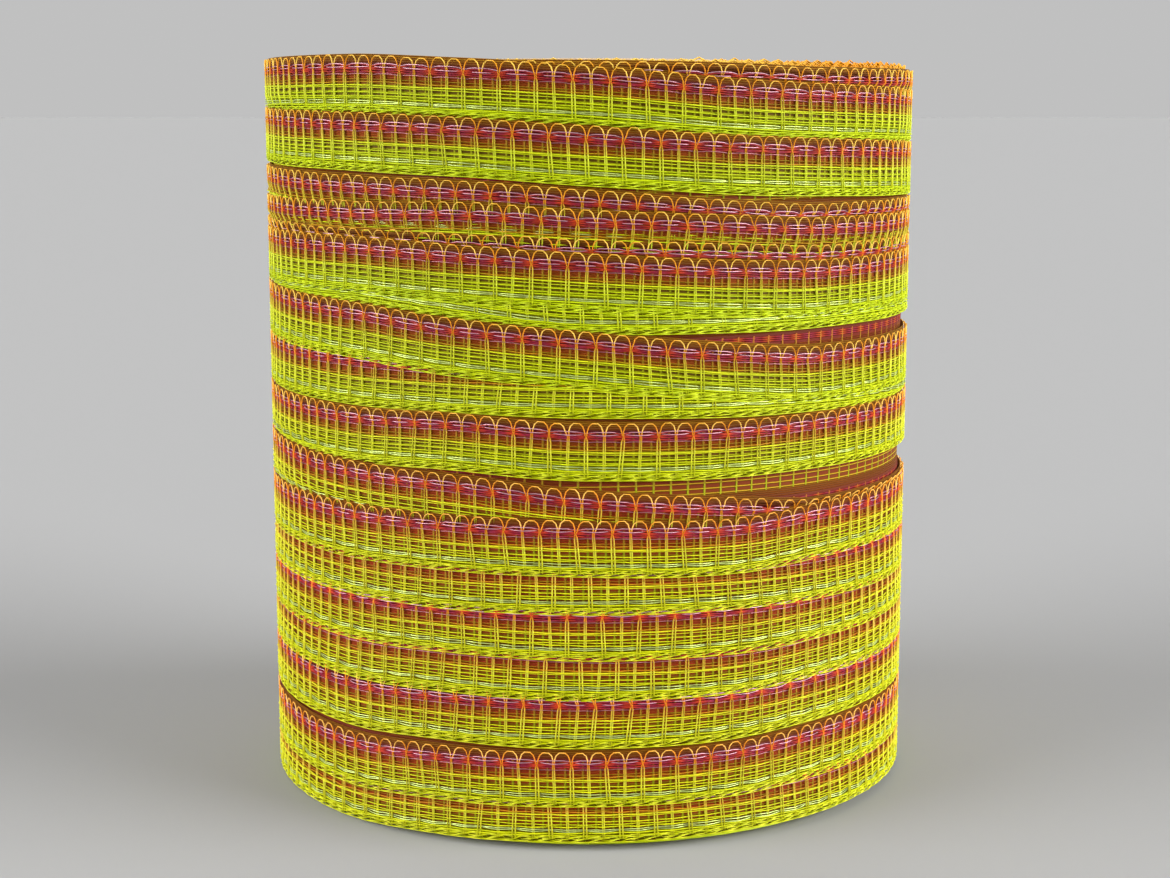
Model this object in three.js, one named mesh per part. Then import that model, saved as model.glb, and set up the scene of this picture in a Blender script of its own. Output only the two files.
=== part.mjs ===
// A roll of narrow woven electric fence tape, standing on its end.
// The tape is wound to and fro on a plain paper core, so its turns lie side by side and overlap
// like shingles. Millimetres, +Z up, origin at the centre of the core's lower end.
import * as THREE from "three";

// The tape: from the tips of its edge loops to its sewn edge.
const TAPE_WIDTH = 10;
// What one tape stands above the tape that it overlaps.
const OVERLAP_STEP = 0.9;

// The wound tape.
const WINDING_DIAMETER = 124;
const WINDING_HEIGHT = 135;
// How much of a turn the next turn covers.
const TURN_OVERLAP = 2.8;
// How many turns, counted from the foot, hang over the turn below; the others stand over the turn above.
const TURNS_OVER_THE_NEXT_BELOW = 6;
// The edges of the turns that lie at the top and the foot of the winding, seen as rings there. Every second
// ring lies a little further in than its neighbours.
const RING_PITCH = 3.3;
const RING_DEPTH = 2.8;
const RING_UNEVENNESS = 0.9;

// The paper core.
const CORE_BORE = 50;
const CORE_WALL = 3;
const CORE_PROUD = 0.5;
// Room between the core and the first turn.
const CORE_CLEARANCE = 0.3;

const SEGMENTS = 48;

const tapeMaterial = new THREE.MeshStandardMaterial({
  color: 0xc2cf10,
  roughness: 0.45,
  metalness: 0,
});
const paperMaterial = new THREE.MeshStandardMaterial({
  color: 0xa58a66,
  roughness: 0.9,
  metalness: 0,
});

// A closed profile of [radius, height] points turned round the Z axis. A corner given twice counts once.
function turned(name, profile, material) {
  const corners = profile.map(([radius, height]) => new THREE.Vector2(radius, height));
  const points = corners.filter((corner, i) => i === 0 || !corner.equals(corners[i - 1]));
  points.push(points[0].clone());
  const geometry = new THREE.LatheGeometry(points, SEGMENTS);
  geometry.rotateX(Math.PI / 2);
  const mesh = new THREE.Mesh(geometry, material);
  mesh.name = name;
  return mesh;
}

// The outer wall of the winding, from its foot to its top. Each turn leans on a neighbour, so one of its
// edges stands proud: the lower edge on the first turns, and the upper edge on the others.
function outerTurns(radius, foot, top) {
  const turns = Math.round((top - foot) / (TAPE_WIDTH - TURN_OVERLAP));
  const pitch = (top - foot) / turns;
  const points = [];
  for (let i = 0; i < turns; i += 1) {
    const low = foot + i * pitch;
    if (i < TURNS_OVER_THE_NEXT_BELOW) {
      points.push([radius, low], [radius - OVERLAP_STEP, low + pitch]);
    } else {
      points.push([radius - OVERLAP_STEP, low], [radius, low + pitch]);
    }
  }
  return points;
}

// One end of the winding, from the bore to the outer turns: a groove, and then a ridge and a groove for each ring.
function endRings(innerRadius, outerRadius, height, inwards) {
  const rings = Math.round((outerRadius - innerRadius) / RING_PITCH);
  const pitch = (outerRadius - innerRadius) / rings;
  const grooveHeight = height + inwards * RING_DEPTH;
  const points = [[innerRadius, grooveHeight]];
  for (let i = 0; i < rings; i += 1) {
    const drop = i % 2 === 0 ? 0 : RING_UNEVENNESS;
    points.push([innerRadius + (i + 0.5) * pitch, height + inwards * drop]);
    points.push([innerRadius + (i + 1) * pitch, grooveHeight]);
  }
  return points;
}

function tapeWinding() {
  const outer = WINDING_DIAMETER / 2;
  const bore = CORE_BORE / 2 + CORE_WALL + CORE_CLEARANCE;
  const foot = CORE_PROUD;
  const top = foot + WINDING_HEIGHT;
  const lowerEnd = endRings(bore, outer - OVERLAP_STEP, foot, 1);
  const wall = outerTurns(outer, foot, top);
  const upperEnd = endRings(bore, outer - OVERLAP_STEP, top, -1).reverse();
  return turned("tape_winding", [...lowerEnd, ...wall, ...upperEnd], tapeMaterial);
}

function coreTube() {
  const inner = CORE_BORE / 2;
  const outer = inner + CORE_WALL;
  const height = WINDING_HEIGHT + 2 * CORE_PROUD;
  const profile = [
    [inner, 0],
    [outer, 0],
    [outer, height],
    [inner, height],
  ];
  return turned("core_tube", profile, paperMaterial);
}

const roll = new THREE.Group();
roll.add(tapeWinding(), coreTube());

export default roll;
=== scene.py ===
import bpy
import numpy as np
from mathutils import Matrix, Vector


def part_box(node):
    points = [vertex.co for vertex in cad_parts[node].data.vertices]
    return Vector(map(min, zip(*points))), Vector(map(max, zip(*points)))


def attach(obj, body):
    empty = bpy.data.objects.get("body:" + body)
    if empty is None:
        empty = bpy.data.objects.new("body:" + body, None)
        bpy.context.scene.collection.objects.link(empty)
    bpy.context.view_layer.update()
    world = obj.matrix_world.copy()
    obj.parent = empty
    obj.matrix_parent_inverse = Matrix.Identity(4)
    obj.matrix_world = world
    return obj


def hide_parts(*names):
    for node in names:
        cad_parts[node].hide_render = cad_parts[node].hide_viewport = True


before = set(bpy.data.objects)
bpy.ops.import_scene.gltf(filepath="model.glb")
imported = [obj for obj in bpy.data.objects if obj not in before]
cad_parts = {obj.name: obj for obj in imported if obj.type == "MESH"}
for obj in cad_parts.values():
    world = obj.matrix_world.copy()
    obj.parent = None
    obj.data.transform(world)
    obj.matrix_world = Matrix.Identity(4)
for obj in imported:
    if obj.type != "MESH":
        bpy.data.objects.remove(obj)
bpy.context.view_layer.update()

MM = 0.001

# The photographer's place
# The camera stood level with the top of the roll and looked slightly down on its side. Its place and lens
# were found from the curves of the turns. Rows and columns are pixels of the 1170 by 878 photograph.
PHOTO_WIDTH = 1170
PHOTO_HEIGHT = 878
FOCAL_LENGTH_PIXELS = 2094
SENSOR_WIDTH = 36
CAMERA_TO_AXIS = 408.4
CAMERA_LEFT_OF_AXIS = 0.7
CAMERA_HEIGHT = 127.1
LOOKING_DOWN = np.radians(8.97)

camera_data = bpy.data.cameras.new("camera")
camera_data.sensor_width = SENSOR_WIDTH
camera_data.lens = FOCAL_LENGTH_PIXELS * SENSOR_WIDTH / PHOTO_WIDTH
camera_data.clip_start = 0.01
camera = bpy.data.objects.new("camera", camera_data)
camera.location = (-CAMERA_LEFT_OF_AXIS * MM, -CAMERA_TO_AXIS * MM, CAMERA_HEIGHT * MM)
camera.rotation_euler = (np.pi / 2 - LOOKING_DOWN, 0, 0)
bpy.context.scene.collection.objects.link(camera)
bpy.context.scene.camera = camera


def wall_point(column, row, wall_radius):
    """Where the camera's ray through a pixel meets an upright cylinder: its angle round the roll, with nought
    at the front and growing to the right, and its height above the floor. The ray's distance is the
    smaller root of the quadratic that sets its distance from the axis to the wall's radius."""
    across = (column - PHOTO_WIDTH / 2) / FOCAL_LENGTH_PIXELS
    up = (PHOTO_HEIGHT / 2 - row) / FOCAL_LENGTH_PIXELS
    forward = np.cos(LOOKING_DOWN) + up * np.sin(LOOKING_DOWN)
    rise = up * np.cos(LOOKING_DOWN) - np.sin(LOOKING_DOWN)
    square = across**2 + forward**2
    half = -CAMERA_LEFT_OF_AXIS * across - CAMERA_TO_AXIS * forward
    rest = CAMERA_LEFT_OF_AXIS**2 + CAMERA_TO_AXIS**2 - wall_radius**2
    distance = (-half - np.sqrt(half**2 - square * rest)) / square
    x = distance * across - CAMERA_LEFT_OF_AXIS
    y = distance * forward - CAMERA_TO_AXIS
    return np.arctan2(x, -y), CAMERA_HEIGHT + distance * rise


# Paper core
# A tube wound from strips of brown board, glued and cut square. The tape is wound straight on it. The
# board's layers show as fine rings on the cut ends.
CORE_SEGMENTS = 144
CORE_EDGE_ROUNDING = 0.25
core_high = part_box("core_tube")[1]
CORE_RADIUS = core_high.x / MM
CORE_WALL = 3
CORE_HEIGHT = core_high.z / MM


def new_mesh(name, vertices, faces, uv, smooth=True):
    """One mesh object from arrays: vertices in millimetres, faces as rows of vertex numbers, and the UV of
    each face corner. A row with minus one as its last number is a triangle."""
    mesh = bpy.data.meshes.new(name)
    mesh.vertices.add(len(vertices))
    mesh.vertices.foreach_set("co", (vertices * MM).astype(np.float32).ravel())
    used = faces >= 0
    totals = used.sum(axis=1)
    mesh.loops.add(int(totals.sum()))
    mesh.loops.foreach_set("vertex_index", faces[used].astype(np.int32))
    mesh.polygons.add(len(faces))
    starts = np.concatenate([[0], np.cumsum(totals)[:-1]])
    mesh.polygons.foreach_set("loop_start", starts.astype(np.int32))
    mesh.polygons.foreach_set("loop_total", totals.astype(np.int32))
    mesh.polygons.foreach_set("use_smooth", np.full(len(faces), smooth))
    layer = mesh.uv_layers.new(name="along_and_across")
    layer.data.foreach_set("uv", uv[used].astype(np.float32).ravel())
    mesh.update()
    mesh.validate()
    piece = bpy.data.objects.new(name, mesh)
    bpy.context.scene.collection.objects.link(piece)
    return piece


def round_axis(angle, radius, height):
    """Points round the roll's axis. The angle is nought at the front and grows to the right."""
    return np.stack([radius * np.sin(angle), -radius * np.cos(angle), height], axis=-1)


def turned_grid(radius, height, segments):
    """A closed profile turned round the axis: point (i, j) is profile point j at angle i. UV is the turn's
    angle in degrees, and the profile's point number."""
    angle = np.linspace(0, 2 * np.pi, segments, endpoint=False)[:, None]
    radius = np.broadcast_to(radius, (segments, np.shape(radius)[-1]))
    height = np.broadcast_to(height, (segments, np.shape(height)[-1]))
    vertices = round_axis(angle, radius, height)
    count = radius.shape[1]
    i, j = np.indices((segments, count))
    corner_i = np.stack([i, i + 1, i + 1, i], axis=-1).reshape(-1, 4)
    corner_j = np.stack([j, j, j + 1, j + 1], axis=-1).reshape(-1, 4)
    faces = (corner_i % segments) * count + corner_j % count
    uv = np.stack([corner_i * 360 / segments, corner_j], axis=-1)
    return vertices.reshape(-1, 3), faces, uv


def node(tree, kind, **inputs):
    """A shader node with its unlinked inputs set, or linked where a socket is given."""
    made = tree.nodes.new(kind)
    for key, value in inputs.items():
        socket = made.inputs[key.replace("_", " ")]
        if isinstance(value, bpy.types.NodeSocket):
            tree.links.new(value, socket)
        else:
            socket.default_value = value
    return made


def calculated(tree, operation, first, second=0.0, third=0.0, clamp=False):
    """The result of a Math node."""
    made = node(tree, "ShaderNodeMath")
    made.operation = operation
    made.use_clamp = clamp
    for socket, value in zip(made.inputs, (first, second, third)):
        if isinstance(value, bpy.types.NodeSocket):
            tree.links.new(value, socket)
        else:
            socket.default_value = value
    return made.outputs[0]


def blended(tree, share, first, second):
    """Two colours mixed by a share."""
    made = tree.nodes.new("ShaderNodeMix")
    made.data_type = "RGBA"
    for socket, value in ((made.inputs[0], share), (made.inputs[6], first), (made.inputs[7], second)):
        if isinstance(value, bpy.types.NodeSocket):
            tree.links.new(value, socket)
        else:
            socket.default_value = value
    return made.outputs[2]


def tinted(tree, colour, tint):
    """A colour multiplied by another."""
    made = tree.nodes.new("ShaderNodeMix")
    made.data_type = "RGBA"
    made.blend_type = "MULTIPLY"
    made.inputs[0].default_value = 1
    tree.links.new(colour, made.inputs[6])
    tree.links.new(tint, made.inputs[7])
    return made.outputs[2]


def ramped(tree, value, stops):
    """A colour ramp through (place, colour) stops."""
    made = node(tree, "ShaderNodeValToRGB", Fac=value)
    ramp = made.color_ramp
    while len(ramp.elements) < len(stops):
        ramp.elements.new(0.5)
    for element, (place, colour) in zip(ramp.elements, stops):
        element.position = place
        element.color = (*colour, 1)
    return made.outputs["Color"]


def new_material(name):
    """A material with only a Principled BSDF in it, the tree and that shader."""
    material = bpy.data.materials.new(name)
    material.use_nodes = True
    return material, material.node_tree, material.node_tree.nodes["Principled BSDF"]


core_inner = CORE_RADIUS - CORE_WALL
core_rise = np.array([CORE_EDGE_ROUNDING, 0, 0, CORE_EDGE_ROUNDING])
core_inset = CORE_EDGE_ROUNDING - core_rise
core_half = np.array([core_inner, core_inner, CORE_RADIUS, CORE_RADIUS]) + core_inset * (1, 1, -1, -1)
core_r = np.concatenate([core_half, core_half[::-1]])
core_z = np.concatenate([core_rise, CORE_HEIGHT - core_rise])
paper_core = new_mesh("paper_core", *turned_grid(core_r, core_z, CORE_SEGMENTS))

paper, tree, shader = new_material("brown_board")
place = tree.nodes.new("ShaderNodeTexCoord").outputs["Object"]
fibres = node(tree, "ShaderNodeTexNoise", Vector=place, Scale=900, Detail=4, Roughness=0.7)
blotches = node(tree, "ShaderNodeTexNoise", Vector=place, Scale=60, Detail=3)
split = node(tree, "ShaderNodeSeparateXYZ", Vector=place)
x_squared = calculated(tree, "POWER", split.outputs[0], 2)
y_squared = calculated(tree, "POWER", split.outputs[1], 2)
from_axis = calculated(tree, "SQRT", calculated(tree, "ADD", x_squared, y_squared))
layers = calculated(tree, "SINE", calculated(tree, "MULTIPLY", from_axis, 12000))
layers = calculated(tree, "MULTIPLY_ADD", layers, 0.0625, 0.125)
blotched = calculated(tree, "MULTIPLY_ADD", blotches.outputs[0], 0.3, layers)
shade = calculated(tree, "MULTIPLY_ADD", fibres.outputs[0], 0.45, blotched)
colour = ramped(tree, shade, [
    (0.2, (0.23, 0.15, 0.085)), (0.5, (0.38, 0.27, 0.16)), (0.8, (0.50, 0.38, 0.25))])
tree.links.new(colour, shader.inputs["Base Color"])
shader.inputs["Roughness"].default_value = 0.85
bump = node(tree, "ShaderNodeBump", Strength=0.4, Distance=0.0002, Height=shade)
tree.links.new(bump.outputs["Normal"], shader.inputs["Normal"])
paper_core.data.materials.append(paper)
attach(paper_core, "root")
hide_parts("core_tube")

# The outer layer of the tape: its way round the roll
# One tape 10 mm wide, wound tightly by a machine that moves it to and fro. Its turns came down unevenly, so
# each one lies where the photograph shows it, and leans on the neighbours that it covers.
TAPE_WIDTH = 10.0
COLOUR_CHANGE = 5.2
WALL_RADIUS = 61.9
WOUND_RADIUS = 61.4
PICK = 3.08
COLUMNS = (345, 440, 590, 740, 825)
LOOP_TIPS = 0.0
SEWN_EDGE = TAPE_WIDTH
# For each turn from the top: the line of the tape that was read, its rows at the columns above, and whether
# the turn lies over the one before it.
TURNS = (
    (LOOP_TIPS, (61, 60, 60, 63, 67), True),
    (COLOUR_CHANGE, (85, 89, 97, 109, 113), True),
    (COLOUR_CHANGE, (142, 147, 157, 165.5, 168), True),
    (LOOP_TIPS, (174, 179, 189, 200, 203), True),
    (LOOP_TIPS, (200, 201, 209, 214, 216), True),
    (LOOP_TIPS, (227, 232, 239, 243, 244), True),
    (COLOUR_CHANGE, (265, 274, 284.5, 290, 289), True),
    (SEWN_EDGE, (303, 318, 335, 333, 327), False),
    (COLOUR_CHANGE, (330, 347, 363, 374, 374), True),
    (SEWN_EDGE, (404, 413, 419, 417, 411), False),
    (COLOUR_CHANGE, (434, 442, 454, 450, 440), True),
    (LOOP_TIPS, (459, 473, 491.5, 497.5, 497), True),
    (COLOUR_CHANGE, (530, 543, 551, 547, 530), True),
    (SEWN_EDGE, (593, 609, 616, 610, 598), False),
    (COLOUR_CHANGE, (611, 625.5, 635, 627, 611), False),
    (COLOUR_CHANGE, (650, 665, 675, 667, 648), False),
    (COLOUR_CHANGE, (698, 714, 723, 712, 692), False),
    (COLOUR_CHANGE, (757, 774, 782, 770, 748), True),
    (COLOUR_CHANGE, (790, 809, 817, 805, 786), False),
)
PRESSED_DOWN = 0.8
PRESSED_OVER = 1.1
PRESSED_EARLY = 0.5
ORDER_KEPT = 0.34
TUCKED_UNDER = 0.9
TUCKED_LENGTH = 20.0


def eased(at, knots, values):
    """A smooth curve through knots that never swings past them: cubic pieces whose slope at a knot is the
    harmonic mean of the slopes on its two sides, or nought where they differ in sign or at an end."""
    gap = np.diff(knots)
    rise = np.diff(values) / gap
    before, after = rise[:-1], rise[1:]
    total = np.where(before * after > 0, before + after, 1)
    slope = np.zeros(len(values))
    slope[1:-1] = np.where(before * after > 0, 2 * before * after / total, 0)
    i = np.clip(np.searchsorted(knots, at, side="right") - 1, 0, len(gap) - 1)
    t = np.clip((at - knots[i]) / gap[i], 0, 1)
    bend = (t - 1) ** 2 * t * gap[i] * slope[i] + t**2 * (t - 1) * gap[i] * slope[i + 1]
    return values[i] + (values[i + 1] - values[i]) * t**2 * (3 - 2 * t) + bend


line_read, rows, over_before = (np.array(column, float) for column in zip(*TURNS))
angles, heights = wall_point(np.array(COLUMNS, float)[None, :], rows, WALL_RADIUS)
TURN_COUNT = len(TURNS)
knot_angles = (angles + 2 * np.pi * np.arange(TURN_COUNT)[:, None]).ravel()
knot_heights = (heights + line_read[:, None] - COLOUR_CHANGE).ravel()
FIRST_ANGLE = -np.pi
LAST_ANGLE = 2 * np.pi * (TURN_COUNT - 0.5)
knot_angles = np.concatenate([[FIRST_ANGLE], knot_angles, [LAST_ANGLE]])
knot_heights = np.concatenate([knot_heights[:1], knot_heights, knot_heights[-1:]])
PICK_COUNT = int((LAST_ANGLE - FIRST_ANGLE) * WOUND_RADIUS / PICK)


def lies_over(turn):
    """How far a turn lies over the one before it, from nought to one. It keeps what was read for a third of a
    turn each way from the front, and changes evenly to the next value behind the roll."""
    places = (np.arange(TURN_COUNT)[:, None] + np.array([-ORDER_KEPT, ORDER_KEPT])).ravel()
    return np.interp(turn, places, np.repeat(over_before, 2))


def pressed(across, angle):
    """How deep the tape is pressed in where neighbours lie over it. Each of the next two turns covers what
    lies below its loop tips, and the turn before covers what lies above its sewn edge. From a little before
    the loop tips, or from the sewn edge, the depth grows as a smooth step. It is shared as turns change
    places."""
    turn = angle / (2 * np.pi)
    own = eased(angle, knot_angles, knot_heights)
    drop_before = eased(angle - 2 * np.pi, knot_angles, knot_heights) - own
    under = np.clip((TAPE_WIDTH - drop_before - across) / PRESSED_OVER, 0, 1) * (turn > 0.5)
    by_last = under**2 * (3 - 2 * under) * (1 - lies_over(turn))
    by_next = 0
    uppermost = 1
    for turns_on in (1, 2):
        drop_after = own - eased(angle + 2 * np.pi * turns_on, knot_angles, knot_heights)
        reached = turn < TURN_COUNT - 0.5 - turns_on
        under = np.clip((across - drop_after + PRESSED_EARLY) / PRESSED_OVER, 0, 1) * reached
        uppermost = uppermost * lies_over(turn + turns_on)
        by_next = by_next + under**2 * (3 - 2 * under) * uppermost
    return PRESSED_DOWN * np.maximum(by_next, by_last)


def on_tape(picks, across, proud=0.0):
    """Points of the wound tape. Picks count the length from its start, across is the distance from the loop
    tips, and proud is the height over the tape's own middle. The height is that of the colour change less
    the distance across from it, and the radius is the roll's, less what a neighbour presses in."""
    angle = FIRST_ANGLE + picks * PICK / WOUND_RADIUS
    to_end = np.minimum(picks, PICK_COUNT - picks) * PICK / TUCKED_LENGTH
    tucked = TUCKED_UNDER * (1 - np.clip(to_end, 0, 1)) ** 2
    radius = WOUND_RADIUS + proud - np.maximum(tucked, pressed(across, angle))
    height = eased(angle, knot_angles, knot_heights) + COLOUR_CHANGE - across
    return round_axis(angle, radius, height)


def strands(points, thickness, uv, sides=3):
    """Closed tubes along rows of points. Each ring of vertices is turned from the outward direction about the
    strand's own direction, one vertex outermost; the ends are closed by a triangle or a quad."""
    count, steps, _ = points.shape
    along = np.gradient(points, axis=1)
    outward = points * (1, 1, 0)
    outward /= np.linalg.norm(outward, axis=-1, keepdims=True)
    side = np.cross(along, outward)
    side /= np.linalg.norm(side, axis=-1, keepdims=True)
    up = np.cross(side, along)
    up /= np.linalg.norm(up, axis=-1, keepdims=True)
    turn = (2 * np.pi * np.arange(sides) / sides)[:, None]
    ring = up[:, :, None] * np.cos(turn) + side[:, :, None] * np.sin(turn)
    radius = np.asarray(thickness) / (1 + np.cos(np.pi / sides))
    radius = np.broadcast_to(radius[..., None, None], (count, steps, 1, 1))
    vertices = points[:, :, None] + ring * radius
    strand, step, corner = np.indices((count, steps - 1, sides))
    first = (strand * steps + step) * sides
    after = (corner + 1) % sides
    walls = np.stack([first + corner, first + sides + corner, first + sides + after, first + after], axis=-1)
    start = (np.arange(count) * steps * sides)[:, None] + np.arange(sides)
    finish = start + (steps - 1) * sides
    caps = np.full((2 * count, 4), -1)
    caps[:count, :sides] = start
    caps[count:, :sides] = finish[:, ::-1]
    faces = np.concatenate([walls.reshape(-1, 4), caps])
    uv = np.repeat(uv.reshape(-1, 2), sides, axis=0)
    return vertices.reshape(-1, 3), faces, uv[np.maximum(faces, 0)]


def warp_runs(runs, samples=2):
    """Strands that run the whole length of the tape. Each run gives its place across under odd picks, its
    sway across at even ones, how far it lies over the tape's middle, its weave and its thickness. It rises by
    the weave over even picks and dips as far under odd ones, or the other way where the weave is negative: a
    cosine of half a turn a pick. The sway keeps straight about the even picks and closes near the odd
    ones."""
    place, sway, lie, weave, thickness = (np.array(column, float)[:, None] for column in zip(*runs))
    picks = np.arange(PICK_COUNT * samples + 1) / samples
    wave = np.cos(np.pi * picks)
    wander = 0.05 * np.sin(picks * 0.61 + place * 5) + 0.05 * np.sin(picks * 0.23 + place * 11)
    across = place + sway * (1 - ((1 - wave) / 2) ** 3) + wander
    picks = np.broadcast_to(picks, across.shape)
    points = on_tape(picks, across, lie + weave * wave)
    uv = np.stack([picks, across / TAPE_WIDTH], axis=-1)
    return strands(points, np.broadcast_to(thickness, across.shape), uv)


# How drawn plastic looks
# Every coloured strand is a drawn monofilament of clear-tinted plastic. Its colour deepens in places, where
# it is thicker or shows what lies behind it. In the upper turns it is painted darker and greener: painted
# shade on the top of the roll. It also glows a little with its own colour: painted light that lifts its
# shade, as light carried through the clear plastic would. Draw lines run along it.
filament = bpy.data.node_groups.new("drawn_filament", "ShaderNodeTree")
for name, kind, default in (
    ("Colour", "NodeSocketColor", (0.6, 0.7, 0.02, 1)),
    ("Deep Colour", "NodeSocketColor", (0.3, 0.35, 0.0, 1)),
    ("Deepening", "NodeSocketFloat", 0.5),
    ("Glow", "NodeSocketFloat", 0.1),
):
    socket = filament.interface.new_socket(name, in_out="INPUT", socket_type=kind)
    socket.default_value = default
for name, kind in (("Colour", "NodeSocketColor"), ("Glow", "NodeSocketColor"),
                   ("Roughness", "NodeSocketFloat"), ("Height", "NodeSocketFloat")):
    filament.interface.new_socket(name, in_out="OUTPUT", socket_type=kind)
given = filament.nodes.new("NodeGroupInput").outputs
result = filament.nodes.new("NodeGroupOutput").inputs
place = filament.nodes.new("ShaderNodeTexCoord").outputs["Object"]
patches = node(filament, "ShaderNodeTexNoise", Vector=place, Scale=420, Detail=2, Roughness=0.6)
drawn = filament.nodes.new("ShaderNodeTexCoord").outputs["UV"]
stretched = node(filament, "ShaderNodeMapping", Vector=drawn, Scale=(6, 260, 1))
lines = node(filament, "ShaderNodeTexNoise", Vector=stretched.outputs[0], Scale=1, Detail=2)
deepened = calculated(filament, "MULTIPLY_ADD", patches.outputs[0], 2.2, -0.6, clamp=True)
deepened = calculated(filament, "MULTIPLY", deepened, given["Deepening"])
colour = blended(filament, deepened, given["Colour"], given["Deep Colour"])
picks = node(filament, "ShaderNodeSeparateXYZ", Vector=drawn).outputs[0]
# Painted shade: the upper turns are tinted darker and greener, the lower ones less so.
painted_shade_down_the_roll = calculated(filament, "MULTIPLY_ADD", picks, 1 / 700, -1.3, clamp=True)
tint = blended(filament, painted_shade_down_the_roll, (0.84, 0.91, 0.8, 1), (0.95, 0.89, 1.0, 1))
colour = tinted(filament, colour, tint)
filament.links.new(colour, result["Colour"])
filament.links.new(blended(filament, given["Glow"], (0, 0, 0, 1), colour), result["Glow"])
filament.links.new(calculated(filament, "MULTIPLY_ADD", lines.outputs[0], 0.3, 0.3), result["Roughness"])
filament.links.new(lines.outputs[0], result["Height"])


def plastic(name, colour, deep_colour, deepening, painted_glow, stops=None):
    """The plastic of one colour of strand, or of colours that change across the tape."""
    material, tree, shader = new_material(name)
    group = tree.nodes.new("ShaderNodeGroup")
    group.node_tree = filament
    group.inputs["Colour"].default_value = (*colour, 1)
    group.inputs["Deep Colour"].default_value = (*deep_colour, 1)
    group.inputs["Deepening"].default_value = deepening
    group.inputs["Glow"].default_value = painted_glow
    if stops:
        uv = tree.nodes.new("ShaderNodeTexCoord").outputs["UV"]
        across = node(tree, "ShaderNodeSeparateXYZ", Vector=uv).outputs[1]
        tree.links.new(ramped(tree, across, stops), group.inputs["Colour"])
    tree.links.new(group.outputs["Colour"], shader.inputs["Base Color"])
    # The strand's colour also goes out as emission: painted light in its shade.
    tree.links.new(group.outputs["Glow"], shader.inputs["Emission Color"])
    shader.inputs["Emission Strength"].default_value = 1
    tree.links.new(group.outputs["Roughness"], shader.inputs["Roughness"])
    shader.inputs["Specular IOR Level"].default_value = 0.12
    bump = node(tree, "ShaderNodeBump", Strength=0.3, Distance=0.00004, Height=group.outputs["Height"])
    tree.links.new(bump.outputs["Normal"], shader.inputs["Normal"])
    return material


def by_pick(tree, over_even, between, over_odd):
    """A colour that follows the length of the tape: one over the even picks, one over the odd ones, and one
    between them. The UV's first number counts picks."""
    uv = tree.nodes.new("ShaderNodeTexCoord").outputs["UV"]
    picks = node(tree, "ShaderNodeSeparateXYZ", Vector=uv).outputs[0]
    from_even = calculated(tree, "PINGPONG", picks, 1)
    return ramped(tree, from_even, [(0.15, over_even), (0.5, between), (0.85, over_odd)])


def dressed(piece, material):
    """A piece of the tape with its material; it rides with the roll and stands for the wound solid."""
    piece.data.materials.append(material)
    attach(piece, "root")
    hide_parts("tape_winding")
    return piece


# Weft picks and edge loops
# A needle lays the weft to and fro as double picks, 3 mm apart. At the upper edge each strand turns over to
# the next pick in a free round loop. At every second pick the strands meet in an orange knot, and open into
# a V below it.
STRAND_THICKNESS = 0.24
LOOP_THICKNESS = 0.19
LOOP_FOOT = 1.7
LOOP_TIP = 0.1
pick_numbers = np.arange(PICK_COUNT - 1)
chance = np.random.default_rng(7)
STRAND_ACROSS = (9.4, 6.6, 3.3, 2.5)
STRAND_SPREAD_EVEN = (0.15, 0.13, 0.13, 0.09)
STRAND_SPREAD_ODD = (0.27, 0.25, 0.23, 0.06)
UNEVEN_SLANT = 0.14
UNEVEN_PLACE = 0.06
UNEVEN_LOOP_PLACE = 0.07
UNEVEN_LOOP_HEIGHT = 0.08
ROOM_BETWEEN_LOOPS = 0.44
LOOPS_OVER_MIDDLE = 0.08
PICKS_CROSS_BY = 0.04
even = (pick_numbers % 2 == 0)[:, None]
here = np.where(even, STRAND_SPREAD_EVEN, STRAND_SPREAD_ODD)
beyond = np.where(even, STRAND_SPREAD_ODD, STRAND_SPREAD_EVEN)[:, ::-1]
skew = 0.22 * np.sin(np.arange(PICK_COUNT) * 0.041 + 1) + 0.14 * np.sin(np.arange(PICK_COUNT) * 0.13)
slant = skew + chance.normal(0, UNEVEN_SLANT, PICK_COUNT)
shift = chance.normal(0, UNEVEN_PLACE, PICK_COUNT)
lean_share = (np.array(STRAND_ACROSS) - TAPE_WIDTH / 2) / (TAPE_WIDTH / 2)
rising = pick_numbers[:, None] * PICK + here + shift[:-1, None] + slant[:-1, None] * lean_share
falling = (pick_numbers[:, None] + 1) * PICK - beyond + shift[1:, None] + slant[1:, None] * lean_share[::-1]
loop_turn = np.radians([8, 38, 68, 112, 142, 172])
loop_middle = (pick_numbers[:, None] + 0.5) * PICK
loop_middle = loop_middle + chance.normal(0, UNEVEN_LOOP_PLACE, PICK_COUNT - 1)[:, None]
loop_reach = (PICK - ROOM_BETWEEN_LOOPS) / 2
loop_height = LOOP_FOOT - LOOP_TIP + chance.normal(0, UNEVEN_LOOP_HEIGHT, PICK_COUNT - 1)[:, None]
over = loop_middle - loop_reach * np.cos(loop_turn)
loop_across = LOOP_FOOT - loop_height * np.sin(loop_turn)
along = np.concatenate([rising, over, falling], axis=1) / PICK
strand_rows = np.ones((PICK_COUNT - 1, 1)) * np.array(STRAND_ACROSS)
across = np.concatenate([strand_rows, loop_across, strand_rows[:, ::-1]], axis=1)
depth = np.where(even, -PICKS_CROSS_BY, PICKS_CROSS_BY) * np.ones(len(STRAND_ACROSS))
proud = np.concatenate([depth, np.full(loop_across.shape, LOOPS_OVER_MIDDLE), -depth], axis=1)
strand_thickness = [STRAND_THICKNESS] * len(STRAND_ACROSS)
weft_thickness = np.array(strand_thickness + [LOOP_THICKNESS] * len(loop_turn) + strand_thickness)
weft_uv = np.stack([along, across / TAPE_WIDTH], axis=-1)
weft = new_mesh("weft_loops", *strands(on_tape(along, across, proud), weft_thickness[None, :], weft_uv))
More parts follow.
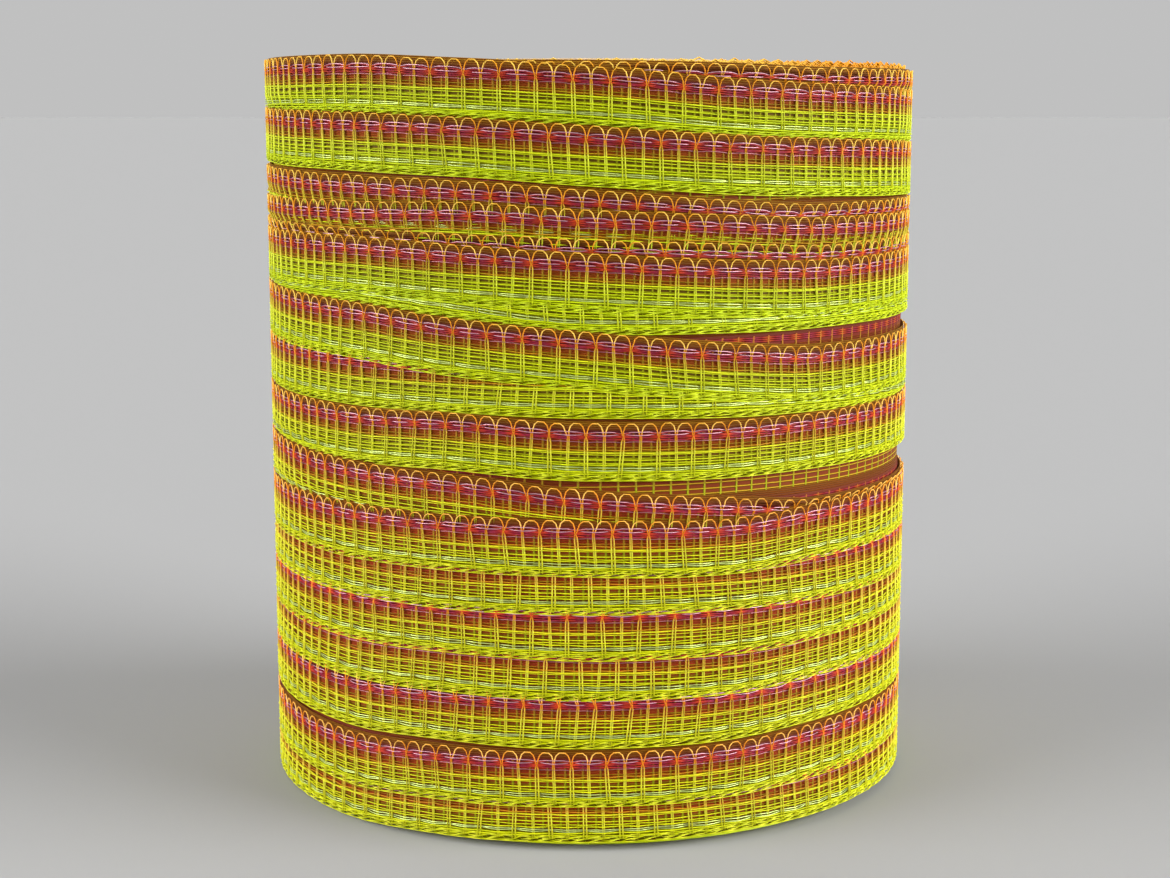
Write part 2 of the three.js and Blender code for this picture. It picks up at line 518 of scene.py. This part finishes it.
weft_plastic = plastic(
    "golden_and_yellow_weft", (0.7, 0.6, 0.05), (0.36, 0.22, 0.0), 0.35, 0.2)
tree = weft_plastic.node_tree
# Each loop is painted cream on its side over the even pick, where the light falls, and darker orange on its
# side over the odd pick, which turns into shade: painted light and shade.
loop_lit_and_shaded = by_pick(tree, (0.84, 0.50, 0.10), (0.80, 0.40, 0.05), (0.70, 0.23, 0.012))
weft_uv = tree.nodes.new("ShaderNodeTexCoord").outputs["UV"]
share_across = node(tree, "ShaderNodeSeparateXYZ", Vector=weft_uv).outputs[1]
leg_colour = ramped(tree, share_across, [
    (0.19, (0.64, 0.20, 0.01)), (0.27, (0.58, 0.17, 0.01)), (0.32, (0.46, 0.29, 0.03)),
    (0.44, (0.52, 0.38, 0.03)), (0.51, (0.54, 0.56, 0.04)), (1.0, (0.54, 0.60, 0.01))])
in_leg = calculated(tree, "MULTIPLY_ADD", share_across, 25, -3.9, clamp=True)
weft_colour = blended(tree, in_leg, loop_lit_and_shaded, leg_colour)
tree.links.new(weft_colour, tree.nodes["Group"].inputs["Colour"])
dressed(weft, weft_plastic)

# Yellow warps
# Fluorescent yellow monofilaments that run the length of the tape in its lower half. The two uppermost are
# brown, and the third marks the change from red to yellow.
YELLOW_RUNS = (
    (4.15, 0.0, -0.12, 0.06, 0.11),
    (4.68, -0.10, -0.04, -0.15, 0.16),
    (5.12, 0.0, 0.0, 0.17, 0.24),
    (5.46, 0.04, -0.05, -0.12, 0.15),
    (6.30, 0.0, 0.0, 0.17, 0.20),
    (6.86, 0.0, -0.04, -0.17, 0.18),
    (7.22, 0.05, 0.0, 0.17, 0.20),
    (8.42, 0.0, 0.0, 0.17, 0.24),
    (8.78, 0.0, -0.04, -0.17, 0.20),
)
yellow_warps = new_mesh("yellow_warps", *warp_runs(YELLOW_RUNS, samples=1))
yellow_plastic = plastic(
    "fluorescent_yellow", (0.5, 0.6, 0.01), (0.26, 0.32, 0.0), 0.55, 0.25,
    stops=[(0.42, (0.26, 0.10, 0.002)), (0.45, (0.48, 0.17, 0.006)), (0.475, (0.52, 0.20, 0.006)),
           (0.50, (0.62, 0.60, 0.01)), (0.6, (0.54, 0.56, 0.004)), (1.0, (0.50, 0.56, 0.002))])
dressed(yellow_warps, yellow_plastic)

# Red warps
# Deep orange-red monofilaments beside the wires in the upper half. They pass over the odd picks, where they
# draw the weft together in orange knots, and spread apart beneath the even ones.
RED_RUNS = (
    (2.05, -0.38, -0.18, -0.14, 0.24),
    (2.26, -0.06, -0.16, -0.14, 0.26),
    (2.50, 0.06, -0.16, -0.14, 0.26),
    (2.76, 0.16, -0.18, -0.12, 0.24),
)
red_warps = new_mesh("red_warps", *warp_runs(RED_RUNS))
red_plastic = plastic("orange_red", (0.44, 0.05, 0.012), (0.12, 0.004, 0.016), 0.5, 0.16)
tree = red_plastic.node_tree
# Over the even picks the red is painted violet: a painted sheen of light on the glossy strands. Over the odd
# picks it is orange, at the knots.
red_with_painted_sheen = by_pick(tree, (0.34, 0.035, 0.07), (0.30, 0.018, 0.028), (0.50, 0.05, 0.012))
tree.links.new(red_with_painted_sheen, tree.nodes["Group"].inputs["Colour"])
dressed(red_warps, red_plastic)

# Conductor wires
# Five bright stainless wires woven in with the warps. The upper two float over each even pick as a pair and
# close up under the next, one runs below them alone, and two lie among the yellow warps.
WIRE_RUNS = (
    (1.84, -0.33, -0.10, 0.28, 0.14),
    (1.98, 0.19, -0.10, 0.28, 0.14),
    (3.38, -0.18, -0.16, 0.20, 0.12),
    (7.80, -0.10, -0.10, 0.28, 0.17),
    (7.98, 0.10, -0.10, 0.28, 0.17),
)
wires = new_mesh("conductor_wires", *warp_runs(WIRE_RUNS))
steel, tree, shader = new_material("bright_stainless_wire")
place = tree.nodes.new("ShaderNodeTexCoord").outputs["Object"]
dulling = node(tree, "ShaderNodeTexNoise", Vector=place, Scale=700, Detail=2)
dulled = ramped(tree, dulling.outputs[0], [(0.3, (0.60, 0.60, 0.60)), (0.7, (1.0, 1.0, 1.0))])
wire_uv = node(tree, "ShaderNodeSeparateXYZ", Vector=tree.nodes.new("ShaderNodeTexCoord").outputs["UV"])
# The steel is tinted pink over the red warps and yellow-green among the yellow ones: painted reflections of
# the coloured strands around it.
beside = ramped(tree, wire_uv.outputs[1], [
    (0.22, (0.68, 0.38, 0.46)), (0.30, (0.48, 0.20, 0.22)),
    (0.40, (0.48, 0.20, 0.22)), (0.6, (0.64, 0.76, 0.22))])
steel_colour = tinted(tree, dulled, beside)
tree.links.new(steel_colour, shader.inputs["Base Color"])
# The steel also glows with this colour: a painted highlight.
tree.links.new(steel_colour, shader.inputs["Emission Color"])
shader.inputs["Emission Strength"].default_value = 0.12
tree.links.new(calculated(tree, "MULTIPLY_ADD", dulling.outputs[0], 0.3, 0.25), shader.inputs["Roughness"])
shader.inputs["Metallic"].default_value = 0.6
dressed(wires, steel)

# Sewn edge
# The weft's other edge is locked by fine knitted yellow threads. Their slanting stitches lie one for each
# pick in four uneven rows, with a straight strand among them and another along the very edge.
STITCH_ALONG = (0.04, 0.48, 0.97)
STITCH_ACROSS = (9.86, 9.72, 9.52)
STITCH_PROUD = (-0.12, 0.16, -0.08)
STITCH_THICKNESS = (0.11, 0.18, 0.11)
THREADS = ((0.0, 0.0, 0.0), (0.35, -0.26, -0.03), (0.68, -0.52, -0.05), (0.15, -0.80, -0.08))
UNEVEN_STITCH_ALONG = 0.06
UNEVEN_STITCH_ACROSS = 0.08
stitch_along, stitch_across, stitch_proud, stitch_thickness = [], [], [], []
for along_by, across_by, proud_by in THREADS:
    uneven = chance.normal(0, 1, (2, PICK_COUNT - 1, len(STITCH_ALONG)))
    first_pick = np.arange(PICK_COUNT - 1)[:, None]
    uneven_along = UNEVEN_STITCH_ALONG * uneven[0]
    uneven_across = UNEVEN_STITCH_ACROSS * uneven[1]
    stitch_along.append((first_pick + np.array(STITCH_ALONG) + along_by + uneven_along).ravel())
    stitch_across.append((np.array(STITCH_ACROSS) + across_by + uneven_across).ravel())
    stitch_proud.append(np.tile(STITCH_PROUD, PICK_COUNT - 1) + proud_by)
    stitch_thickness.append(np.tile(STITCH_THICKNESS, PICK_COUNT - 1))
stitch_uv = np.stack([stitch_along, np.array(stitch_across) / TAPE_WIDTH], axis=-1)
stitch_points = on_tape(np.array(stitch_along), np.array(stitch_across), np.array(stitch_proud))
stitches = strands(stitch_points, np.array(stitch_thickness), stitch_uv)
sewn_edge = new_mesh("sewn_edge", *stitches)
sewn_plastic = plastic("yellow_sewing_thread", (0.48, 0.62, 0.004), (0.24, 0.34, 0.0), 0.5, 0.22)
tree = sewn_plastic.node_tree
thread_uv = tree.nodes.new("ShaderNodeTexCoord").outputs["UV"]
stitch_share = calculated(tree, "FRACT", node(tree, "ShaderNodeSeparateXYZ", Vector=thread_uv).outputs[0])
# Each stitch is painted lighter in its middle, where it rides highest in the light, and darker at its ends,
# where it dips into shade: painted light and shade.
stitch_lit_and_shaded = ramped(tree, stitch_share, [
    (0.0, (0.32, 0.34, 0.0)), (0.25, (0.50, 0.54, 0.0)), (0.6, (0.68, 0.72, 0.03)), (1.0, (0.38, 0.40, 0.0))])
tree.links.new(stitch_lit_and_shaded, tree.nodes["Group"].inputs["Colour"])
dressed(sewn_edge, sewn_plastic)
EDGE_RUNS = ((9.15, 0.0, -0.12, 0.06, 0.20), (9.95, 0.0, -0.06, -0.06, 0.20))
edge_strands = new_mesh("edge_strands", *warp_runs(EDGE_RUNS, samples=1))
dressed(edge_strands, sewn_plastic)

# Tape beneath
# The same tape in the layer under the outer one. It lies close against it from the loops to the sewn edge,
# and fills its meshes: deep red behind the red warps, brown beside them and olive behind the yellow ones.
# These colours are painted dark, as painted shade deep in the meshes, and darker and redder in the lower
# turns.
BENEATH_PROUD = -0.40
BENEATH_THICKNESS = 0.14
BENEATH_ROWS = (-0.1, 3.2, 5.4, 7.6, 9.8)
PICKS_PER_STEP = 2
outer_face = [(across, BENEATH_PROUD) for across in BENEATH_ROWS]
inner_face = [(across, BENEATH_PROUD - BENEATH_THICKNESS) for across in (BENEATH_ROWS[-1], BENEATH_ROWS[0])]
ribbon = np.array(outer_face + inner_face)
ribbon_picks = np.arange(0.0, PICK_COUNT, PICKS_PER_STEP)[:, None] * np.ones(len(ribbon))
ribbon_across = ribbon[:, 0] * np.ones((len(ribbon_picks), 1))
ribbon_points = on_tape(ribbon_picks, ribbon_across, ribbon[:, 1])
step, corner = np.indices((len(ribbon_picks) - 1, len(ribbon)))
first = step * len(ribbon)
after = (corner + 1) % len(ribbon)
beyond = first + len(ribbon)
ribbon_faces = np.stack([first + corner, first + after, beyond + after, beyond + corner], axis=-1)
ribbon_faces = ribbon_faces.reshape(-1, 4)
last_ring = (len(ribbon_picks) - 1) * len(ribbon)
# Seven corners go round the ribbon, so two quads and a triangle close each end.
ribbon_cap = np.array([[0, 6, 5, 4], [4, 3, 2, 1], [4, 1, 0, -1]])
ribbon_end = np.where(ribbon_cap >= 0, ribbon_cap + last_ring, -1)
ribbon_end = np.stack([ribbon_end[:, k] for k in (2, 1, 0, 3)], axis=1)
ribbon_faces = np.concatenate([ribbon_faces, ribbon_cap, ribbon_end])
ribbon_uv = np.stack([ribbon_picks, ribbon_across / TAPE_WIDTH], axis=-1).reshape(-1, 2)
ribbon_uv = ribbon_uv[np.maximum(ribbon_faces, 0)]
tape_beneath = new_mesh("tape_beneath", ribbon_points.reshape(-1, 3), ribbon_faces, ribbon_uv)


def line_mask(tree, distance, half_width, softness):
    """One where a distance is under half a line's width, falling to nought over its soft edge."""
    edge = calculated(tree, "SUBTRACT", half_width, distance)
    return calculated(tree, "MULTIPLY_ADD", edge, 1 / softness, 0.5, clamp=True)


def strands_across(tree, across, places, half_width):
    """Strands that run along the tape at places across it, in millimetres."""
    whole = None
    for place in places:
        distance = calculated(tree, "ABSOLUTE", calculated(tree, "SUBTRACT", across, place))
        mask = line_mask(tree, distance, half_width, 0.12)
        whole = mask if whole is None else calculated(tree, "MAXIMUM", whole, mask)
    return whole


def drawn_weave(name, shaded_upper_cells, shaded_lower_cells, warp_colour, painted_glow):
    """A surface that shows the woven tape: its picks and its red, brown and yellow warps, by UV, over cells
    whose colour changes across the tape, and along it from the upper turns to the lower. The cells are
    painted shade, the dark depth seen through the meshes; in the lower turns those behind the yellow warps
    are darker and redder, and the drawn yellow warps fade into them. The drawn red warps are violet over the
    even picks, a painted sheen.
    The surface also glows with its own colour: painted light."""
    material, tree, shader = new_material(name)
    uv = tree.nodes.new("ShaderNodeTexCoord").outputs["UV"]
    split = node(tree, "ShaderNodeSeparateXYZ", Vector=uv)
    share_across = split.outputs[1]
    across = calculated(tree, "MULTIPLY", share_across, TAPE_WIDTH)
    patches = node(tree, "ShaderNodeTexNoise", Vector=uv, Scale=0.11, Detail=2)
    lower_down = calculated(tree, "MULTIPLY_ADD", split.outputs[0], 0.008, -11.0)
    lower_down = calculated(tree, "MULTIPLY_ADD", patches.outputs[0], 1.6, lower_down)
    lower_down = calculated(tree, "ADD", lower_down, -0.3, clamp=True)
    cells = blended(
        tree, lower_down, ramped(tree, share_across, shaded_upper_cells), ramped(tree, share_across, shaded_lower_cells))
    own_picks = calculated(tree, "ADD", split.outputs[0], 0.37)
    from_pick = calculated(tree, "PINGPONG", own_picks, 0.5)
    from_even = calculated(tree, "PINGPONG", own_picks, 1)
    below_knots = calculated(tree, "GREATER_THAN", across, LOOP_FOOT)
    picks = calculated(tree, "MULTIPLY", line_mask(tree, from_pick, 0.06, 0.06), below_knots)
    reds = strands_across(tree, across, (2.05, 2.4, 2.75), 0.13)
    browns = strands_across(tree, across, (0.1, 0.45, 0.8, 1.2, 3.55, 3.85, 4.2, 4.45), 0.05)
    yellows = strands_across(tree, across, (5.1, 6.1, 7.0, 7.4, 7.9, 8.3, 8.8, 9.2, 9.6), 0.12)
    # Violet over the even picks: a painted sheen on the drawn red warps.
    painted_red_and_sheen = ramped(tree, from_even, [
        (0.2, (0.22, 0.02, 0.035)), (0.55, (0.20, 0.01, 0.01)), (0.85, (0.36, 0.05, 0.01))])
    pick_colour = ramped(tree, share_across, [
        (0.24, (0.30, 0.09, 0.01)), (0.42, (0.26, 0.15, 0.008)), (0.6, (0.24, 0.25, 0.003))])
    colour = blended(tree, reds, cells, painted_red_and_sheen)
    brown_here = blended(tree, patches.outputs[0], (0.16, 0.02, 0.003, 1), (0.42, 0.11, 0.006, 1))
    colour = blended(tree, browns, colour, brown_here)
    yellow_share = calculated(tree, "MULTIPLY_ADD", lower_down, -0.75, 1)
    yellow_here = calculated(tree, "MULTIPLY", yellows, yellow_share)
    colour = blended(tree, yellow_here, colour, (*warp_colour, 1))
    colour = blended(tree, picks, colour, pick_colour)
    tree.links.new(colour, shader.inputs["Base Color"])
    # The colour also goes out as emission: painted light.
    tree.links.new(colour, shader.inputs["Emission Color"])
    shader.inputs["Emission Strength"].default_value = painted_glow
    shader.inputs["Roughness"].default_value = 0.6
    shader.inputs["Specular IOR Level"].default_value = 0.1
    relief = reds
    for mask in (browns, yellows, picks):
        relief = calculated(tree, "MAXIMUM", relief, mask)
    bump = node(tree, "ShaderNodeBump", Strength=1.0, Distance=0.0003, Height=relief)
    tree.links.new(bump.outputs["Normal"], shader.inputs["Normal"])
    return material


# Cell colours of the tape beneath in the upper and the lower turns: painted shade, darker and redder lower
# down behind the yellow warps.
shaded_upper_cells = [
    (0.03, (0.22, 0.10, 0.003)), (0.15, (0.06, 0.004, 0.008)), (0.33, (0.22, 0.025, 0.006)),
    (0.40, (0.24, 0.05, 0.003)), (0.50, (0.15, 0.055, 0.001)), (0.56, (0.085, 0.045, 0.0)),
    (0.66, (0.10, 0.07, 0.0)), (0.76, (0.14, 0.14, 0.0)), (0.88, (0.20, 0.20, 0.0)), (1.0, (0.22, 0.22, 0.0))]
shaded_lower_cells = [
    (0.03, (0.18, 0.07, 0.002)), (0.16, (0.09, 0.006, 0.008)), (0.33, (0.28, 0.022, 0.008)),
    (0.48, (0.24, 0.030, 0.003)), (0.60, (0.16, 0.030, 0.002)), (0.75, (0.13, 0.035, 0.001)),
    (0.88, (0.14, 0.11, 0.0)), (1.0, (0.20, 0.18, 0.0))]
close_weave = drawn_weave(
    "tape_beneath_in_shade", shaded_upper_cells, shaded_lower_cells, warp_colour=(0.30, 0.32, 0.001), painted_glow=0.1)
dressed(tape_beneath, close_weave)

# Layers below
# The other layers fill the roll from the core outwards. Their wall shows only between the turns, as more
# turns of the same tape, and each layer's edge stands as a ring on the two ends.
BELOW_RADIUS = WOUND_RADIUS - 1.0
BELOW_RIDGE = 0.25
BELOW_TURNS = 18
BELOW_SEGMENTS = 144
ROWS_PER_TURN = 4
TURN_SHOWS = 0.73
LAYERS = 38
BORE_RADIUS = CORE_RADIUS + 0.35
RING_DEPTH = 1.6
LOOPS_PROUD = 1.3
THREADS_PROUD = 0.5
FIRST_LAYER_OUT = 0.5
LAST_LAYER_IN = 0.4
WALL_SWAY = 1.6
wound_low, wound_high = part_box("tape_winding")
WOUND_FOOT = wound_low.z / MM
WOUND_TOP = wound_high.z / MM
angle = np.linspace(0, 2 * np.pi, BELOW_SEGMENTS, endpoint=False)[:, None]
layer = np.arange(LAYERS)[None, :]
layer_radius = np.linspace(BORE_RADIUS + FIRST_LAYER_OUT, BELOW_RADIUS - LAST_LAYER_IN, LAYERS)
chance = np.random.default_rng(11)
ring_phase = chance.uniform(0, 2 * np.pi, (2, 2, LAYERS))
ring_swing = chance.uniform(0.1, 0.35, (2, 2, LAYERS))
ring_drop = chance.uniform(0, 0.5, (2, LAYERS))


def ring_edge(end, layer, angle):
    """How far a layer's edge lies inside the roll's end: a drop of its own, and two slow swings round the
    roll, once and three times in a turn."""
    once = ring_swing[end, 0, layer] * (1 + np.sin(angle + ring_phase[end, 0, layer]))
    thrice = ring_swing[end, 1, layer] * (1 + np.sin(3 * angle + ring_phase[end, 1, layer]))
    return ring_drop[end, layer] + once + thrice / 2


top_ridge = WOUND_TOP - LOOPS_PROUD - ring_edge(0, layer, angle)
foot_ridge = WOUND_FOOT + THREADS_PROUD + ring_edge(1, layer, angle)
groove = np.append((layer_radius[1:] + layer_radius[:-1]) / 2, BELOW_RADIUS)
ends_r = np.stack([layer_radius, groove], axis=1).ravel()
top_z = np.stack([top_ridge, top_ridge - RING_DEPTH], axis=2).reshape(BELOW_SEGMENTS, -1)
foot_z = np.stack([foot_ridge, foot_ridge + RING_DEPTH], axis=2).reshape(BELOW_SEGMENTS, -1)
row = np.arange(1, BELOW_TURNS * ROWS_PER_TURN)
wall_share = row / (BELOW_TURNS * ROWS_PER_TURN)
from_end = np.minimum(wall_share, 1 - wall_share)
sway = WALL_SWAY * np.sin(angle + 2 * wall_share) * np.minimum(1, 8 * from_end)
wall_z = top_z[:, -1:] + (foot_z[:, -1:] - top_z[:, -1:]) * wall_share + sway
wall_r = BELOW_RADIUS - BELOW_RIDGE * ((row - 1) % ROWS_PER_TURN) / ROWS_PER_TURN
ones = np.ones((BELOW_SEGMENTS, 1))
bore_z = (WOUND_TOP - LOOPS_PROUD - 2, WOUND_FOOT + 2)
below_r = [ones * BORE_RADIUS, ones * ends_r, ones * wall_r, ones * ends_r[::-1], ones * BORE_RADIUS]
below_z = [ones * bore_z[0], top_z, wall_z, foot_z[:, ::-1], ones * bore_z[1]]
below_r = np.concatenate(below_r, axis=1)[:, ::-1]
below_z = np.concatenate(below_z, axis=1)[:, ::-1]
vertices, faces, uv = turned_grid(below_r, below_z, BELOW_SEGMENTS)
from_first_row = below_r.shape[1] - 1 - uv[..., 1] - 2 * LAYERS
turn_of_face = np.floor(from_first_row.mean(axis=1, keepdims=True) / ROWS_PER_TURN)
uv[..., 1] = (from_first_row / ROWS_PER_TURN - turn_of_face) * TURN_SHOWS
uv[..., 0] *= 2 * np.pi * WOUND_RADIUS / PICK / 360
layers_below = new_mesh("layers_below", vertices, faces, uv)
# The layers are painted in dark colours, the painted shade of the roll's depth under the outer layer, and
# glows a little with them as painted light.
shaded_deep_cells = [(0.0, (0.12, 0.045, 0.002)), (0.2, (0.10, 0.008, 0.006)), (0.6, (0.13, 0.022, 0.002)),
              (1.0, (0.12, 0.035, 0.001))]
deep_weave = drawn_weave("layers_in_shade", shaded_deep_cells, shaded_deep_cells, warp_colour=(0.40, 0.24, 0.008), painted_glow=0.2)
dressed(layers_below, deep_weave)

# Edges of the layers at the upper end
# Each layer turns back at the end of the roll and leaves its loop edge standing there, so the end is a field
# of close rings of golden loops, none quite level with the next.
RING_LOOP_THICKNESS = 0.24
RING_LOOP_TURN = np.radians([0, 45, 90, 135])
RING_LOOP_HEIGHT = 1.5
RING_LOOP_FILLS = 0.9
UNEVEN_TIP = 0.12
UNEVEN_LEAN = 0.18
pick_total = np.round(2 * np.pi * layer_radius / PICK).astype(int)
ring_of_loop = np.repeat(np.arange(LAYERS), pick_total)
loop_in_ring = np.concatenate([np.arange(total) for total in pick_total])
loop_angle = (loop_in_ring + 0.5 * (ring_of_loop % 2)) / pick_total[ring_of_loop] * 2 * np.pi
half_pick = np.pi / pick_total[ring_of_loop]
reach = (half_pick * RING_LOOP_FILLS)[:, None] * np.cos(RING_LOOP_TURN)
ring_angle = loop_angle[:, None] - reach
tip = WOUND_TOP - ring_edge(0, ring_of_loop, loop_angle)
tip = tip + chance.normal(0, UNEVEN_TIP, len(loop_angle))
ring_height = (tip - RING_LOOP_HEIGHT)[:, None] + RING_LOOP_HEIGHT * np.sin(RING_LOOP_TURN)
ring_lean = chance.normal(0, UNEVEN_LEAN, len(loop_angle))[:, None] * np.sin(RING_LOOP_TURN)
ring_radius = layer_radius[ring_of_loop][:, None] + ring_lean
loop_points = round_axis(ring_angle, ring_radius, ring_height)
loop_uv = np.stack([ring_angle, 0.15 * np.cos(RING_LOOP_TURN) ** 2 * np.ones((len(loop_angle), 1))], axis=-1)
upper_rings = new_mesh("upper_edge_rings", *strands(loop_points, RING_LOOP_THICKNESS, loop_uv))
# These loops take the weft's painted light and shade, here changing with the angle round the roll.
dressed(upper_rings, weft_plastic)

# Edges of the layers at the foot
# The other end shows each layer's sewn edge, as close rings of yellow thread that the roll stands on.
RING_THREAD_THICKNESS = 0.5
STITCHES_ROUND = 150
THREAD_WAVES_OUT = 0.3
THREAD_WAVES_UP = 0.15
stitch_turn = np.linspace(0, 2 * np.pi, STITCHES_ROUND + 1)[None, :]
thread_layer = np.arange(LAYERS)[:, None]
thread_wave = np.where(np.arange(STITCHES_ROUND + 1) % 2, 0.5, -0.5)
thread_wave[-1] = thread_wave[0]
thread_radius = layer_radius[:, None] + THREAD_WAVES_OUT * thread_wave
thread_height = WOUND_FOOT + RING_THREAD_THICKNESS / 2 + ring_edge(1, thread_layer, stitch_turn)
thread_height = thread_height + THREAD_WAVES_UP * thread_wave
thread_points = round_axis(stitch_turn, thread_radius, thread_height)
thread_turn = np.broadcast_to(stitch_turn, thread_height.shape)
thread_uv = np.stack([thread_turn, np.full(thread_height.shape, 0.95)], axis=-1)
lower_rings = new_mesh("lower_edge_rings", *strands(thread_points, RING_THREAD_THICKNESS, thread_uv))
# The rings take the same painted light and shade, here changing with the angle round the roll.
dressed(lower_rings, sewn_plastic)

# Floor and light
# A plain pale floor in large soft light. Lit by all of it, the floor is as bright as the backdrop, so no edge
# shows far off.
FLOOR_REACH = 30.0
corners = np.array([[-1, -1, 0], [1, -1, 0], [1, 1, 0], [-1, 1, 0]]) * FLOOR_REACH / MM
floor = new_mesh("floor", corners, np.array([[0, 1, 2, 3]]), np.zeros((1, 4, 2)))
pale, tree, shader = new_material("pale_floor")
shader.inputs["Base Color"].default_value = (0.309, 0.309, 0.309, 1)
shader.inputs["Roughness"].default_value = 0.8
shader.inputs["Specular IOR Level"].default_value = 0
floor.data.materials.append(pale)


def soft_sun(name, azimuth, elevation, strength, spread):
    """A sun that shines from an azimuth, counted from the camera's side to the right, and an elevation, both
    in degrees. Its spread is the angle that it fills in the sky, as a large soft box does."""
    data = bpy.data.lights.new(name, "SUN")
    data.energy = strength
    data.angle = np.radians(spread)
    sun = bpy.data.objects.new(name, data)
    turn, lift = np.radians(azimuth), np.radians(elevation)
    towards = Vector((np.sin(turn) * np.cos(lift), -np.cos(turn) * np.cos(lift), np.sin(lift)))
    sun.rotation_euler = towards.to_track_quat("Z", "Y").to_euler()
    bpy.context.scene.collection.objects.link(sun)


soft_sun("left", -70, 15, 5.5, 50)
soft_sun("right", 72, 15, 7.2, 50)
soft_sun("front", -5, 10, 0.3, 60)
soft_sun("back", 180, 50, 0.5, 60)
world = bpy.data.worlds.new("studio")
bpy.context.scene.world = world
world.use_nodes = True
background = world.node_tree.nodes["Background"]
background.inputs["Color"].default_value = (0.88, 0.88, 0.88, 1)
background.inputs["Strength"].default_value = 0.6
bpy.context.scene.view_settings.view_transform = "Standard"
